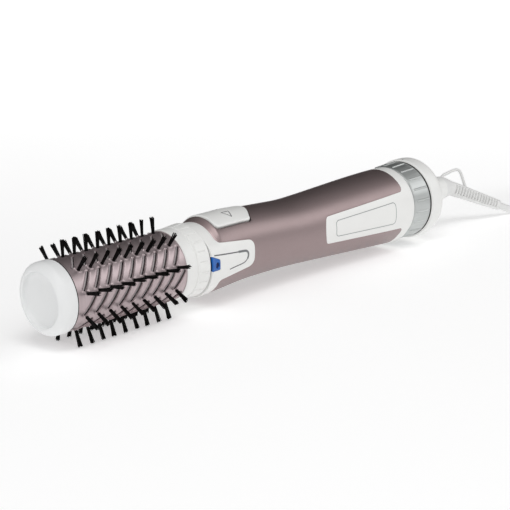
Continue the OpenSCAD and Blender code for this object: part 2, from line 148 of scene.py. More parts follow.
def grid_faces(rows, cols, closed_cols=True, closed_rows=False, flip=False):
    """Quads between the points of a grid, row by row."""
    faces = []
    for i in range(rows if closed_rows else rows - 1):
        a = i * cols
        b = ((i + 1) % rows) * cols
        for j in range(cols if closed_cols else cols - 1):
            k = (j + 1) % cols
            f = (a + j, b + j, b + k, a + k)
            faces.append(f[::-1] if flip else f)
    return faces


def dense(profile, step):
    """Points added along a profile, so that none are much more than step apart."""
    out = []
    for (a, b), (c, d) in zip(profile, profile[1:]):
        n = max(1, int(math.hypot(c - a, d - b) / step))
        out += [(a + (c - a) * i / n, b + (d - b) * i / n) for i in range(n)]
    return out + [profile[-1]]


def shifted(faces, start):
    """The same faces with their vertex numbers moved up by start."""
    return [tuple(start + v for v in f) for f in faces]


def lathe(name, profile, body, material, sides=128, angle=35):
    """Revolves (station, radius) points about the axis; points with radius 0 close an end."""
    verts = [place(s, a, max(r, 0.0005)) for s, r in profile for a in circle(sides)]
    faces = grid_faces(len(profile), sides, flip=True)
    return mesh_object(name, verts, faces, body, material, angle)


def rounded(points, radius=0.5, steps=4):
    """Rounds the corners of an open profile."""
    out = [points[0]]
    for a, b, c in zip(points, points[1:], points[2:]):
        a, b, c = Vector(a), Vector(b), Vector(c)
        u, v = a - b, c - b
        d = min(radius, u.length * 0.45, v.length * 0.45)
        if d < 1e-4:
            out.append(tuple(b))
            continue
        p, q = b + u.normalized() * d, b + v.normalized() * d
        for i in range(steps + 1):
            t = i / steps
            w = p * (1 - t) ** 2 + b * 2 * t * (1 - t) + q * t * t
            out.append(tuple(w))
    out.append(points[-1])
    return out


def tube_mesh(points, radius, sides):
    """Vertices and faces of a closed tube along points, with a twist-free frame."""
    n = len(points)
    verts = []
    tangents = [(points[min(i + 1, n - 1)] - points[max(i - 1, 0)]).normalized() for i in range(n)]
    ref = Vector((0, 0, 1))
    if abs(tangents[0].dot(ref)) > 0.9:
        ref = Vector((0, 1, 0))
    side = tangents[0].cross(ref).normalized()
    for i in range(n):
        t = tangents[i]
        side = (side - t * side.dot(t)).normalized()
        up = t.cross(side)
        for a in circle(sides):
            verts.append(points[i] + (side * math.cos(a) + up * math.sin(a)) * radius)
    faces = grid_faces(n, sides, flip=True)
    faces.append(tuple(range(sides)))
    faces.append(tuple((n - 1) * sides + j for j in range(sides))[::-1])
    return verts, faces


def spline_points(points, spacing):
    """Points on a smooth curve through the given ones, about spacing apart."""
    out = []
    n = len(points)
    for i in range(n - 1):
        p0 = points[i - 1] if i > 0 else points[i] * 2 - points[i + 1]
        p1, p2 = points[i], points[i + 1]
        p3 = points[i + 2] if i + 2 < n else points[i + 1] * 2 - points[i]
        steps = max(1, round((p2 - p1).length / spacing))
        for k in range(steps):
            t = k / steps
            out.append(0.5 * (2 * p1 + (p2 - p0) * t + (2 * p0 - 5 * p1 + 4 * p2 - p3) * t * t
                              + (3 * p1 - p0 - 3 * p2 + p3) * t ** 3))
    out.append(points[-1].copy())
    return out


# ---------------------------------------------------------------- material helpers
class Nodes:
    """A small builder for a material's node tree."""

    def __init__(self, name):
        self.mat = bpy.data.materials.new(name)
        self.mat.use_nodes = True
        self.tree = self.mat.node_tree
        self.bsdf = self.tree.nodes["Principled BSDF"]
        self.coord = self.tree.nodes.new("ShaderNodeTexCoord")

    def set(self, **values):
        for key, value in values.items():
            name = key.replace("_", " ")
            for socket in self.bsdf.inputs:
                if socket.name.lower() == name.lower():
                    socket.default_value = value
                    break
            else:
                raise KeyError(key)
        return self

    def link(self, a, b):
        self.tree.links.new(a, b)

    def noise(self, scale, detail=3.0, roughness=0.5, stretch=None):
        n = self.tree.nodes.new("ShaderNodeTexNoise")
        n.inputs["Scale"].default_value = scale
        n.inputs["Detail"].default_value = detail
        n.inputs["Roughness"].default_value = roughness
        if stretch:
            m = self.tree.nodes.new("ShaderNodeMapping")
            m.inputs["Scale"].default_value = stretch
            self.link(self.coord.outputs["Object"], m.inputs["Vector"])
            self.link(m.outputs["Vector"], n.inputs["Vector"])
        else:
            self.link(self.coord.outputs["Object"], n.inputs["Vector"])
        return n.outputs["Fac"]

    def ramp(self, source, stops):
        r = self.tree.nodes.new("ShaderNodeValToRGB")
        e = r.color_ramp.elements
        while len(e) < len(stops):
            e.new(0.5)
        for item, (p, c) in zip(e, stops):
            item.position = p
            item.color = c if len(c) == 4 else (*c, 1)
        self.link(source, r.inputs["Fac"])
        return r.outputs["Color"]

    def colour(self, source, dark, light):
        self.link(self.ramp(source, [(0.3, dark), (0.7, light)]), self.bsdf.inputs["Base Color"])
        return self

    def rough(self, source, low, high):
        r = self.tree.nodes.new("ShaderNodeMapRange")
        r.inputs["To Min"].default_value = low
        r.inputs["To Max"].default_value = high
        self.link(source, r.inputs["Value"])
        self.link(r.outputs["Result"], self.bsdf.inputs["Roughness"])
        return self

    def bump(self, source, strength, distance=0.0002):
        b = self.tree.nodes.new("ShaderNodeBump")
        b.inputs["Strength"].default_value = strength
        b.inputs["Distance"].default_value = distance
        self.link(source, b.inputs["Height"])
        self.link(b.outputs["Normal"], self.bsdf.inputs["Normal"])
        return self


def srgb(r, g, b):
    def lin(v):
        v /= 255
        return v / 12.92 if v <= 0.04045 else ((v + 0.055) / 1.055) ** 2.4
    return (lin(r), lin(g), lin(b), 1.0)


def shade(c, k):
    return (c[0] * k, c[1] * k, c[2] * k, 1.0)


def moulded(name, colour, rough=0.32, grain=0.05, variation=0.04, coat=0.0, specular=0.5):
    """Moulded plastic: faint colour variation, uneven gloss and a very fine surface grain."""
    m = Nodes(name)
    m.set(IOR=1.49, Specular_IOR_Level=specular, Coat_Weight=coat, Coat_Roughness=0.15)
    m.colour(m.noise(60, 4), shade(colour, 1 - variation), colour)
    m.rough(m.noise(300, 3), rough * 0.85, rough * 1.15)
    m.bump(m.noise(2600, 2), grain, 0.0001)
    return m.mat


def lacquer(name, dark, light):
    """Satin metallic lacquer: tiny flakes under a soft clear layer."""
    m = Nodes(name)
    m.set(Metallic=0.88, Coat_Weight=0.15, Coat_Roughness=0.25, IOR=1.5)
    m.colour(m.noise(5200, 2, 0.7), dark, light)
    m.rough(m.noise(180, 3), 0.38, 0.46)
    m.bump(m.noise(4200, 2), 0.03, 0.00005)
    return m.mat


def brushed(name, dark, light, rough=0.3, stretch=(18, 900, 900), metallic=1.0, bump=0.08):
    """Metal with fine lines along or across it."""
    m = Nodes(name)
    m.set(Metallic=metallic)
    lines = m.noise(1.0, 4, 0.6, stretch)
    m.colour(lines, dark, light)
    m.rough(lines, rough * 0.8, rough * 1.2)
    m.bump(lines, bump, 0.00005)
    return m.mat


def rubbery(name, colour, rough=0.5):
    m = Nodes(name)
    m.set(IOR=1.5, Specular_IOR_Level=0.35)
    m.colour(m.noise(90, 4), shade(colour, 0.93), colour)
    m.rough(m.noise(400, 3), rough * 0.9, rough * 1.1)
    m.bump(m.noise(1800, 3), 0.12, 0.0001)
    return m.mat


MAT = {
    "white": moulded("white_plastic", srgb(238, 238, 236), 0.34, 0.04, 0.02),
    "cap_white": moulded("cap_plastic", srgb(236, 237, 237), 0.42, 0.05, 0.02),
    "mauve": lacquer("mauve_lacquer", srgb(148, 131, 131), srgb(166, 149, 149)),
    "barrel": brushed("barrel_metal", srgb(178, 163, 165), srgb(192, 177, 179), 0.36, (300, 30, 30),
                      0.85, 0.008),
    "louvre": brushed("louvre_metal", srgb(176, 170, 171), srgb(190, 184, 185), 0.5, (300, 30, 30),
                      0.35, 0.008),
    "bristle": moulded("bristle_nylon", srgb(7, 5, 5), 0.55, 0.3, 0.3, 0.0, 0.14),
    # truly dark parts, and also painted shadow sheets in the gaps of the handle, ring and rocker
    "dark": moulded("dark_parts_and_painted_shade", srgb(40, 38, 38), 0.55, 0.1, 0.2),
    "inner": moulded("inner_plastic", srgb(196, 188, 188), 0.6, 0.1, 0.05),
    "blue": moulded("blue_plastic", srgb(8, 96, 182), 0.25, 0.03, 0.1, 0.4),
    # darker copy of the blue, painted as the shade deep in the recess
    "blue_hole_shade": moulded("blue_painted_recess_shade", srgb(6, 44, 110), 0.35, 0.05, 0.2),
    "silver": brushed("ring_silver", srgb(186, 189, 188), srgb(200, 203, 202), 0.4, (30, 300, 300),
                      0.85, 0.006),
    "steel": brushed("steel", srgb(160, 162, 165), srgb(205, 206, 208), 0.3, (20, 800, 800)),
    "brass": brushed("brass", srgb(170, 135, 70), srgb(214, 180, 110), 0.28, (20, 600, 600)),
    "cord": rubbery("cord_vinyl", srgb(232, 232, 231), 0.45),
    "tie": rubbery("tie_rubber", srgb(70, 70, 74), 0.6),
    # grey of the panel frames, and of the painted shadow at the rounded end of the tongue grooves
    "groove": moulded("groove_shadow_and_frame_grey", srgb(150, 154, 154), 0.5, 0.05, 0.05),
    # grey of printed marks, and of the painted shade line of the tongue grooves
    "mark": moulded("print_and_groove_shade_grey", srgb(108, 108, 110), 0.5, 0.03, 0.05),
    "nylon": moulded("gear_nylon", srgb(228, 222, 200), 0.45, 0.1, 0.06),
    "board": moulded("board_green", srgb(32, 96, 62), 0.35, 0.15, 0.2, 0.3),
    "mica": moulded("mica_sheet", srgb(190, 178, 148), 0.5, 0.3, 0.25),
    "can": brushed("motor_can", srgb(120, 124, 128), srgb(165, 168, 172), 0.35, (20, 500, 500)),
    "wire": brushed("heat_wire", srgb(120, 104, 92), srgb(160, 142, 128), 0.45, (400, 400, 400)),
}


# ---------------------------------------------------------------- camera, floor and lights
BACK_DIM = (0.68, 0.68, 0.26)           # direction of the dim patch
WORLD_STRENGTH = 0.62
WORLD_STOPS = [(0.0, 0.95), (0.3, 0.8), (0.62, 0.39), (0.85, 0.08), (0.97, 0.03)]     # towards the patch
FLOOR_GLOW = (0.37, 0.80)               # near the object, and far behind it


def make_camera():
    azimuth, elevation, roll = math.radians(-44.975), math.radians(14.59), math.radians(-2.14)
    back = Vector((math.sin(azimuth) * math.cos(elevation), -math.cos(azimuth) * math.cos(elevation),
                   math.sin(elevation)))
    right = Vector((math.cos(azimuth), math.sin(azimuth), 0))
    up = back.cross(right)
    right, up = right * math.cos(roll) + up * math.sin(roll), up * math.cos(roll) - right * math.sin(roll)
    data = bpy.data.cameras.new("camera")
    data.sensor_fit = "HORIZONTAL"
    data.sensor_width = 36
    data.lens = 102.07
    data.clip_start = 0.02
    data.clip_end = 30
    cam = add_object("camera", data)
    pose = Matrix((right, up, back)).transposed().to_4x4()
    pose.translation = Vector((-0.6332, -0.5967, 0.2387))
    cam.matrix_world = pose
    bpy.context.scene.camera = cam


def area_light(name, place_at, look_at, width, height, power):
    data = bpy.data.lights.new(name, "AREA")
    data.shape = "RECTANGLE"
    data.size, data.size_y = width, height
    data.energy = power
    obj = add_object(name, data)
    obj.location = place_at
    obj.rotation_euler = (Vector(look_at) - Vector(place_at)).to_track_quat("-Z", "Y").to_euler()


def make_world():
    """Soft bright surroundings with a dim patch behind the object, which darkens its upper edge."""
    world = bpy.data.worlds.new("studio")
    bpy.context.scene.world = world
    world.use_nodes = True
    tree = world.node_tree
    coord = tree.nodes.new("ShaderNodeTexCoord")
    dot = tree.nodes.new("ShaderNodeVectorMath")
    dot.operation = "DOT_PRODUCT"
    dot.inputs[1].default_value = BACK_DIM
    tree.links.new(coord.outputs["Generated"], dot.inputs[0])
    ramp = tree.nodes.new("ShaderNodeValToRGB")
    items = ramp.color_ramp.elements
    while len(items) < len(WORLD_STOPS):
        items.new(0.5)
    for item, (at, level) in zip(items, WORLD_STOPS):
        item.position = at
        item.color = (level, level, level, 1)
    tree.links.new(dot.outputs["Value"], ramp.inputs["Fac"])
    back = tree.nodes["Background"]
    tree.links.new(ramp.outputs["Color"], back.inputs["Color"])
    back.inputs["Strength"].default_value = WORLD_STRENGTH


def make_floor():
    mesh = bpy.data.meshes.new("floor")
    h = 6.0
    mesh.from_pydata([(-h, -h, 0), (h, -h, 0), (h, h, 0), (-h, h, 0)], [], [(0, 1, 2, 3)])
    floor = add_object("floor", mesh)
    floor.location.z = -0.0002
    m = Nodes("floor_paper")
    m.set(Roughness=0.9, Specular_IOR_Level=0.1, Emission_Strength=1.0)
    turn = m.tree.nodes.new("ShaderNodeVectorMath")
    turn.operation = "DOT_PRODUCT"
    turn.inputs[1].default_value = (0.5, 0.5, 0)
    m.link(m.coord.outputs["Object"], turn.inputs[0])
    glow = m.ramp(turn.outputs["Value"], [(0.0, (FLOOR_GLOW[0],) * 3), (1.0, (FLOOR_GLOW[1],) * 3)])
    m.link(glow, m.bsdf.inputs["Emission Color"])
    m.colour(m.noise(3, 2), (0.80, 0.80, 0.80, 1), (0.82, 0.82, 0.82, 1))
    mesh.materials.append(m.mat)


def make_backdrop():
    """Pale wall around the floor for the far edge of low views; it lights and reflects nothing."""
    sides, radius, height = 64, 5.8, 6.0
    verts = [(radius * math.cos(a), radius * math.sin(a), z) for z in (-0.01, height) for a in circle(sides)]
    mesh = bpy.data.meshes.new("backdrop")
    mesh.from_pydata(verts, [], grid_faces(2, sides))
    wall = add_object("backdrop", mesh)
    wall.visible_diffuse = wall.visible_glossy = wall.visible_transmission = False
    wall.visible_volume_scatter = wall.visible_shadow = False
    m = Nodes("backdrop_paper")
    m.set(Roughness=0.9, Specular_IOR_Level=0.0, Emission_Strength=1.0, Emission_Color=(1.0, 1.0, 1.0, 1))
    m.colour(m.noise(3, 2), (0.05, 0.05, 0.05, 1), (0.06, 0.06, 0.06, 1))
    mesh.materials.append(m.mat)


def make_studio():
    scene = bpy.context.scene
    scene.view_settings.view_transform = "Standard"
    scene.view_settings.look = "None"
    make_world()
    make_floor()
    make_backdrop()
    area_light("key_above", (-0.5, -0.6, 1.4), (0, 0, 0.03), 0.8, 0.6, 6)
    area_light("right_front", (1.1, -0.9, 0.8), (-0.05, 0, 0.03), 1.1, 0.7, 3.4)
    area_light("left_front", (-1.2, -0.3, 0.5), (-0.1, 0, 0.03), 0.7, 0.5, 1.2)


make_camera()
make_studio()


# ---------------------------------------------------------------- mains lead, coil and plug
COIL_X, COIL_Y, COIL_FLOOR, COIL_R = 262.0, -31.0, 0.6, 27.5      # centre, underside, mean radius
LAYER_RISE = CORD_D * math.sin(math.radians(60))
COIL_H = CORD_D + 2 * LAYER_RISE
PLUG_X, PLUG_Y = 268.0, -11.0
PLUG_LEN, PLUG_W, PLUG_H, PLUG_NECK = 36.0, 35.0, 26.0, 6.0
PLUG_Z = COIL_FLOOR + COIL_H + PLUG_H / 2 + 0.3


def relief_frame():
    """Start of the ribbed part (mm, world) and its direction."""
    lean = Matrix.Rotation(LEAN, 3, "X")
    start = lean @ Vector((NOSE_END + BEND_R * math.sin(BEND), 0, -BEND_R * (1 - math.cos(BEND))))
    along = lean @ Vector((math.cos(BEND), 0, -math.sin(BEND)))
    return start + Vector((FRONT_X, 0, AXIS_Z)), along


def coil_path():
    """Turns of the coil from the floor layer to the top one, in mm."""
    start, per_turn, last_turn = math.radians(130), 36, 24
    layers = [(0, [32.5, 27.5, 22.5]), (1, [20, 25, 30, 35]), (2, [32.5, 27.5, 22.5])]
    rings = [(r, layer) for layer, turns in layers for r in turns]
    out = []
    for k, (r, layer) in enumerate(rings):
        last = k == len(rings) - 1
        nr, nl = (r, layer) if last else rings[k + 1]
        for i in range(last_turn if last else per_turn):
            t = i / per_turn
            w = smooth((t - 0.56) / 0.44)                    # steps to the next ring late in each turn
            a = start - 2 * math.pi * t
            radius, level = r + (nr - r) * w, layer + (nl - layer) * w
            out.append(Vector((COIL_X + radius * math.cos(a), COIL_Y + radius * math.sin(a),
                               COIL_FLOOR + CORD_D / 2 + LAYER_RISE * level)))
    return out


def cord_path():
    """The lead's middle line in mm: out of the strain relief, round the coil and up to the plug."""
    start, along = relief_frame()
    end = start + along * RIB_LEN
    lead = [end - along * 2, end, end + Vector((3, -0.8, -1.3))]
    floor = [(202.5, -13.1, 5.6), (206, -14, 4.2), (210, -14.9, 3.2), (215, -15.6, 2.8),
             (221, -15.4, 2.8), (228, -13.2, 2.9), (234, -9.9, 3.1)]
    tail = [(253.2, -51.7, 12.2), (245.5, -46.4, 13.3), (241, -38.6, 15.5), (240, -29.9, 18.2),
            (242.4, -21.9, 21), (247.4, -15.9, 23.7), (254.4, -12.1, 26.3),
            (PLUG_X - PLUG_NECK, PLUG_Y, PLUG_Z), (PLUG_X - 2, PLUG_Y, PLUG_Z)]
    lead += [Vector(p) for p in floor]
    return spline_points(lead + coil_path() + [Vector(p) for p in tail], 2.5)


def make_cord():
    """Free lead as one round curve."""
    data = bpy.data.curves.new("mains_lead", "CURVE")
    data.dimensions = "3D"
    data.bevel_depth = CORD_D / 2 * MM
    data.bevel_resolution = 4
    data.use_fill_caps = True
    path = cord_path()
    line = data.splines.new("POLY")
    line.points.add(len(path) - 1)
    for p, q in zip(line.points, path):
        p.co = (*(q * MM), 1)
    line.use_smooth = True
    obj = add_object("mains_lead", data)
    data.materials.append(MAT["cord"])
    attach(obj, "cord")
    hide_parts("mains_cord", "cord_coil", "cord_tail")


def superellipse(half_a, half_b, power, n):
    """Points of a closed curve between an ellipse (power 2) and a rectangle (high power)."""
    pts = []
    for a in circle(n):
        c, s = math.cos(a), math.sin(a)
        pts.append((half_a * math.copysign(abs(c) ** (2 / power), c),
                    half_b * math.copysign(abs(s) ** (2 / power), s)))
    return pts


def make_plug():
    """Moulded two-pin plug with a flared neck, finger grips and a flat face."""
    n = 64
    half_w, half_h = PLUG_W / 2 - 0.1, PLUG_H / 2 - 0.1
    sections = [(-PLUG_NECK + 0.2, 3.2, 3.2, 2), (-PLUG_NECK, 3.6, 3.6, 2), (-4.2, 4.2, 4.2, 2),
                (-4.0, 3.7, 3.7, 2), (-3.2, 3.8, 3.8, 2), (-3.0, 4.7, 4.7, 2), (-1.4, 5.4, 5.4, 2),
                (0.0, 6.6, 6.4, 2), (0.8, 10.5, 8.4, 2.3), (2.2, 13.6, 10.0, 2.6), (4.5, 15.4, 11.0, 3)]
    for i in range(19):
        x = 6 + i * 1.1
        rib = 0.45 if i % 4 < 2 else 0.0
        waist = 1.3 * math.sin(math.pi * i / 18)
        sections.append((x, half_w - 0.6 - waist - rib, half_h - 0.8 - waist * 0.6, 3.4))
    sections += [(27.5, half_w - 0.4, half_h - 0.5, 3.6), (30, half_w, half_h, 3.8),
                 (34.8, half_w, half_h, 3.8), (35.7, half_w - 0.5, half_h - 0.5, 3.8),
                 (PLUG_LEN - 0.05, half_w - 1.5, half_h - 1.5, 3.6),
                 (PLUG_LEN - 0.05, 0.5, 0.5, 2)]
    verts = []
    for x, a, b, p in sections:
        for y, z in superellipse(a, b, p, n):
            verts.append(Vector((PLUG_X + x, PLUG_Y + y, PLUG_Z + z)) * MM)
    faces = grid_faces(len(sections), n, flip=True)
    faces.append(tuple(range(n)))
    faces.append(tuple(len(sections) * n - n + j for j in range(n))[::-1])
    body = mesh_object("plug_shell", verts, faces, "cord", MAT["cord"], 40)
    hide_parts("plug_body")
    verts, faces = [], []
    for side in (-1, 1):
        profile = [(-1.5, 2.4), (17.6, 2.4), (18.4, 2.2), (18.85, 1.7), (19.0, 0.9), (19.0, 0.05)]
        base = len(verts)
        for x, r in profile:
            for a in circle(32):
                verts.append(Vector((PLUG_X + PLUG_LEN + x, PLUG_Y + side * 9.5 + r * math.cos(a),
                                     PLUG_Z + r * math.sin(a))) * MM)
        faces += shifted(grid_faces(len(profile), 32, flip=True), base)
        faces.append(tuple(base + j for j in range(32)))
    pins = mesh_object("plug_contacts", verts, faces, "cord", MAT["brass"], 30)
    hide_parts("plug_pins")
    return body, pins


def make_tie():
    """Rubber strap round the coil."""
    def outline(g):
        narrow, wide = 1.5 * CORD_D - 0.6, 2 * CORD_D + g
        low, high = LAYER_RISE + 0.8, COIL_H - LAYER_RISE - 0.8
        return [(COIL_R - narrow, -g), (COIL_R + narrow, -g), (COIL_R + wide, low),
                (COIL_R + wide, high), (COIL_R + narrow, COIL_H + g), (COIL_R - narrow, COIL_H + g),
                (COIL_R - wide, high), (COIL_R - wide, low)]

    def close_round(points):
        loop = rounded(points + points[:2], 1.6, 5)
        return loop[1:-1]
    turn = math.radians(-70)
    out_dir = Vector((math.cos(turn), math.sin(turn), 0))
    side_dir = Vector((-math.sin(turn), math.cos(turn), 0))
    centre = Vector((COIL_X, COIL_Y, COIL_FLOOR))
    outer, inner = close_round(outline(0.58)), close_round(outline(0.1))
    rows, half = [], 3.0 - 0.15
    for points, w in ((inner, -half), (outer, -half), (outer, half), (inner, half)):
        rows.append([centre + out_dir * r + Vector((0, 0, z)) + side_dir * w for r, z in points])
    n = len(rows[0])
    verts = [p * MM for row in rows for p in row]
    faces = grid_faces(4, n, True, True, flip=True)
    tie = mesh_object("coil_strap", verts, faces, "cord", MAT["tie"], 30)
    bevel = tie.modifiers.new("edges", "BEVEL")
    bevel.width = 0.0001
    bevel.segments = 2
    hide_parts("cord_tie")
    return tie


def make_lead():
    body, pins = make_plug()
    tie = make_tie()
    make_cord()


make_lead()


# ---------------------------------------------------------------- surfaces cut along outlines
GRID_R = 21.5                           # radius at which a grid step of angle is measured


def arc(cx, cz, r, a1, a2, n=10):
    """Points on an arc of an outline, from angle a1 to a2 in degrees."""
    return [(cx + r * math.cos(math.radians(a1 + (a2 - a1) * i / n)),
             cz + r * math.sin(math.radians(a1 + (a2 - a1) * i / n))) for i in range(n + 1)]


COLLAR_OUTLINE = ([(80, -40), (COLLAR_EDGE, -40), (COLLAR_EDGE, -13.4)]
                  + arc(104.9, -13.4, 2.5, 180, 98)
                  + arc(126.2, -3.7, 4.6, -82, -4) + arc(126.2, 3.7, 4.6, 4, 82)
                  + arc(104.7, 13.2, 2.3, -98, -180) + [(COLLAR_EDGE, 40), (80, 40)])
SLEEVE_OUTLINE = ([(310, -40), (SLEEVE_EDGE, -40), (SLEEVE_EDGE, -16)]
                  + arc(263.6, -15.4, 3.4, 0, 80)
                  + arc(196.6, -5.9, 2.8, -95, -155) + arc(209.35, 0, 16.85, -155.2, -204.8)
                  + arc(196.6, 5.9, 2.8, 155, 95)
                  + arc(263.6, 15.4, 3.4, -80, 0) + [(SLEEVE_EDGE, 16), (SLEEVE_EDGE, 40), (310, 40)])


def rocker_outline(g):
    """Outline of the rocker seen from above, grown by g."""
    return (arc(109.6, -10.9, 2.4 + g, 180, 265) + arc(133.6, -10.9, 2.4 + g, 275, 345)
            + arc(127.4, 0, 13.6 + g, -28, 28) + arc(133.6, 10.9, 2.4 + g, 15, 85)
            + arc(109.6, 10.9, 2.4 + g, 95, 180))


def polygon_distance(px, py, polygon):
    """Signed distance to a closed polygon, negative inside."""
    best = np.full(px.shape, 1e9)
    sign = np.ones(px.shape)
    n = len(polygon)
    for i in range(n):
        ax, ay = polygon[i]
        bx, by = polygon[(i + 1) % n]
        ex, ey = bx - ax, by - ay
        length = ex * ex + ey * ey
        if length < 1e-12:
            continue
        wx, wy = px - ax, py - ay
        t = np.clip((wx * ex + wy * ey) / length, 0, 1)
        best = np.minimum(best, (wx - t * ex) ** 2 + (wy - t * ey) ** 2)
        crosses = ex * wy > ey * wx
        flip = ((py >= ay) & (py < by) & crosses) | ((py < ay) & (py >= by) & ~crosses)
        sign = np.where(flip, -sign, sign)
    return sign * np.sqrt(best)


def side_field(outline):
    """Distance to an outline drawn in the side view: station and height above the axis."""
    return lambda s, phi: polygon_distance(s, skin(s, phi) * np.cos(phi), outline)


def top_field(outline):
    """Distance to an outline drawn in the view from above, on the upper half only."""
    def field(s, phi):
        r = skin(s, phi)
        d = polygon_distance(s, -r * np.sin(phi), outline)
        return np.where(np.cos(phi) > 0, d, 50.0)
    return field


def local_field(outline, turn):
    """Outline drawn on the unrolled skin round the angle turn: station and height above it."""
    def field(s, phi):
        up = (turn - ((phi - turn + math.pi) % (2 * math.pi) - math.pi + turn)) * GRID_R
        return polygon_distance(s, up, outline)
    return field


def snap_to(fields, s, phi, step):
    """Moves grid points near a field's zero line onto it, and says which ones."""
    on = np.zeros(s.shape, bool)
    e = 0.02
    for f in fields:
        near = np.where((np.abs(f(s, phi)) < step * 2) & ~on)[0]
        if not len(near):
            continue
        a, b = s[near].copy(), phi[near].copy()
        for _ in range(3):
            v = f(a, b)
            ga = (f(a + e, b) - v) / e
            gb = (f(a, b + e / GRID_R) - v) / e
            g = np.maximum(ga * ga + gb * gb, 0.05)
            a -= v * ga / g
            b -= v * gb / g / GRID_R
        moved = np.hypot(a - s[near], (b - phi[near]) * GRID_R)
        hit = (moved < step * 0.6) & (np.abs(f(a, b)) < 0.03)
        s[near[hit]], phi[near[hit]] = a[hit], b[hit]
        on[near[hit]] = True
    return on


def cut_faces(rows, cols, closed, state):
    """Faces of a grid where state is inside (-1) or on the line (0)."""
    i, j = np.meshgrid(np.arange(rows - 1), np.arange(cols if closed else cols - 1), indexing="ij")
    k = (j + 1) % cols
    quads = np.stack([i * cols + j, i * cols + k, (i + 1) * cols + k, (i + 1) * cols + j], -1).reshape(-1, 4)
    q = state[quads]
    low, high = q.min(1), q.max(1)
    faces = quads[(low < 0) & (high <= 0)].tolist()
    for f, v in zip(quads[(low < 0) & (high > 0)].tolist(), q[(low < 0) & (high > 0)].tolist()):
        keep = [n for n, w in zip(f, v) if w <= 0]
        if len(keep) == 3:
            faces.append(keep)
    return faces


def with_skirt(points, faces, depth_points):
    """Adds a wall from the open edges of a patch to the matching inner points."""
    count = {}
    for f in faces:
        for a, b in zip(f, f[1:] + f[:1]):
            key = (a, b) if a < b else (b, a)
            count[key] = (a, b) if key not in count else None
    inner, verts = {}, list(points)
    edges = [pair for pair in count.values() if pair]
    for pair in edges:
        for v in pair:
            if v not in inner:
                inner[v] = len(verts)
                verts.append(depth_points[v])
    faces = faces + [[b, a, inner[a], inner[b]] for a, b in edges]
    used = sorted({v for f in faces for v in f})
    index = {v: i for i, v in enumerate(used)}
    return [verts[v] for v in used], [[index[v] for v in f] for f in faces]


def to_world(s, phi, r):
    """World points (m) for arrays of stations, angles and radii."""
    return np.stack([(s + FRONT_X) * MM, -r * np.sin(phi) * MM, (AXIS_Z + r * np.cos(phi)) * MM], -1)


def skin_grid(s0, s1, phi0, phi1, step, closed=False):
    """Rows, columns, stations and angles of a grid laid over the skin."""
    rows = round((s1 - s0) / step) + 1
    cols = round((phi1 - phi0) * GRID_R / step / 2) * 2 + (0 if closed else 1)
    s, phi = np.meshgrid(np.linspace(s0, s1, rows),
                         np.linspace(phi0, phi1, cols, endpoint=not closed), indexing="ij")
    return rows, cols, s.ravel(), phi.ravel()


def patch(name, grid, closed, state, radius, depth, body, material, angle=40):
    """The part of a grid where state isn't above 0, with walls of the given depth at its edges."""
    rows, cols, s, phi = grid
    faces = cut_faces(rows, cols, closed, state)
    outer = to_world(s, phi, radius)
    inner = to_world(s, phi, radius - depth)
    verts, faces = with_skirt(list(outer), [list(f) for f in faces], inner)
    return mesh_object(name, verts, faces, body, material, angle)


def region_state(value, on):
    """-1 inside, 0 on the line and 1 outside, for distances to an outline."""
    state = np.sign(value)
    state[on & (np.abs(value) < 0.05)] = 0
    return state


def ribbon(name, points, width, closed, body, material, height=0.05, drop=0.4, base=skin):
    """A narrow inlay that follows the skin along (station, angle) points."""
    pts = [Vector((s, a * GRID_R)) for s, a in points]
    n = len(pts)
    rows = []
    for i, p in enumerate(pts):
        a = pts[(i - 1) % n] if closed or i else p
        b = pts[(i + 1) % n] if closed or i < n - 1 else p
        d = (b - a).normalized()
        side = Vector((-d.y, d.x)) * width / 2
        rows.append((p - side, p + side))
    verts = []
    for left, right in rows:
        for q, lift in ((left, -drop), (left, height), (right, height), (right, -drop)):
            phi = q.y / GRID_R
            verts.append(place(q.x, phi, base(q.x, phi) + lift))
    return mesh_object(name, verts, grid_faces(n, 4, False, closed), body, material, 30)


def smooth_line(points, spacing=0.6):
    """Fine (station, angle) points on a smooth curve through the given ones."""
    line = spline_points([Vector((s, a * GRID_R, 0)) for s, a in points], spacing)
    return [(p.x, p.y / GRID_R) for p in line]


# ---------------------------------------------------------------- handle
def make_handle():
    """White collar and sleeve and the two lacquered shells, all cut from one skin."""
    collar, sleeve = side_field(COLLAR_OUTLINE), side_field(SLEEVE_OUTLINE)
    opening = top_field(rocker_outline(0.8))
    ion = local_field(ION_OUTLINE, ION_TURN)
    grid = skin_grid(HANDLE_START, HANDLE_END, -math.pi, math.pi, SKIN_STEP, True)
    s, phi = grid[2:]
    on = snap_to([opening, collar, sleeve, ion], s, phi, SKIN_STEP)
    ends = (s < HANDLE_START + 0.01) | (s > HANDLE_END - 0.01)
    r = skin(s, phi) - np.where(on, SEAM, 0) - np.where(ends, 0.25, 0)
    fc, fs, fo, fi = (f(s, phi) for f in (collar, sleeve, opening, ion))
    white = region_state(np.maximum(fc, -fi), on)
    front = patch("front_collar_skin", grid, True, white, r, SKIN_DEPTH, "handle",
                  MAT["white"])
    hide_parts("front_collar")
    back = patch("rear_sleeve_skin", grid, True, region_state(fs, on), r, SKIN_DEPTH, "handle",
                 MAT["white"])
    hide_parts("rear_sleeve")
    body = np.maximum.reduce([-fc, -fs, -fo])
    for node, flip in (("left_shell", -1), ("right_shell", 1)):
        half = np.where(np.abs(np.sin(phi)) < 1e-6, 0.0, flip * np.sin(phi) * 30)
        state = region_state(np.maximum(body, half), on | (np.abs(half) < 1e-9))
        shell = patch(node + "_skin", grid, True, state, r, SKIN_DEPTH, "handle",
                      MAT["mauve"])
        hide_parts(node)


ION_TURN = math.radians(88)             # angle of the blue insert from the top
ION_OUTLINE = [(94.9, -4.6), (101, -4.6), (101, 1.4), (94.9, 4.1)]
ION_HOLE_S, ION_HOLE_UP, ION_HOLE_R = 98.8, -1.6, 2.0


